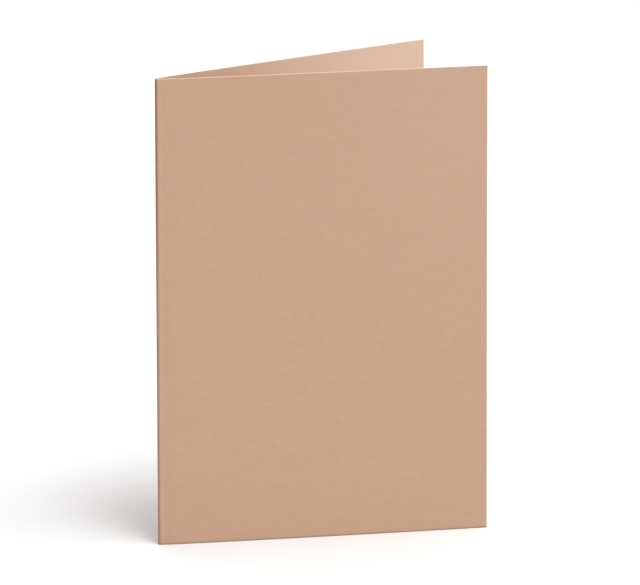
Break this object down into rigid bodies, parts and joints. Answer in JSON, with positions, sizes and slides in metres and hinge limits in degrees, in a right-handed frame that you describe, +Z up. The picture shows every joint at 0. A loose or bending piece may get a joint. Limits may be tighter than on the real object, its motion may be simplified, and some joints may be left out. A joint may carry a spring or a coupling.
{
  "type": "greeting card",
  "caption": "Blank kraft-brown greeting card: a sheet of card stock folded at a score, standing part open on its bottom edges.",
  "frame": {"origin": "middle of the card's footprint, on the surface that it stands on", "axes": "+Z up along the fold, +X from the fold to the open side, +Y from the front panel to the back panel"},
  "size_m": [0.1024, 0.0478, 0.148],
  "materials": {
    "kraft_stock": "matte"
  },
  "bodies": {
    "root": {"card": "kraft_stock"}
  },
  "joints": []
}
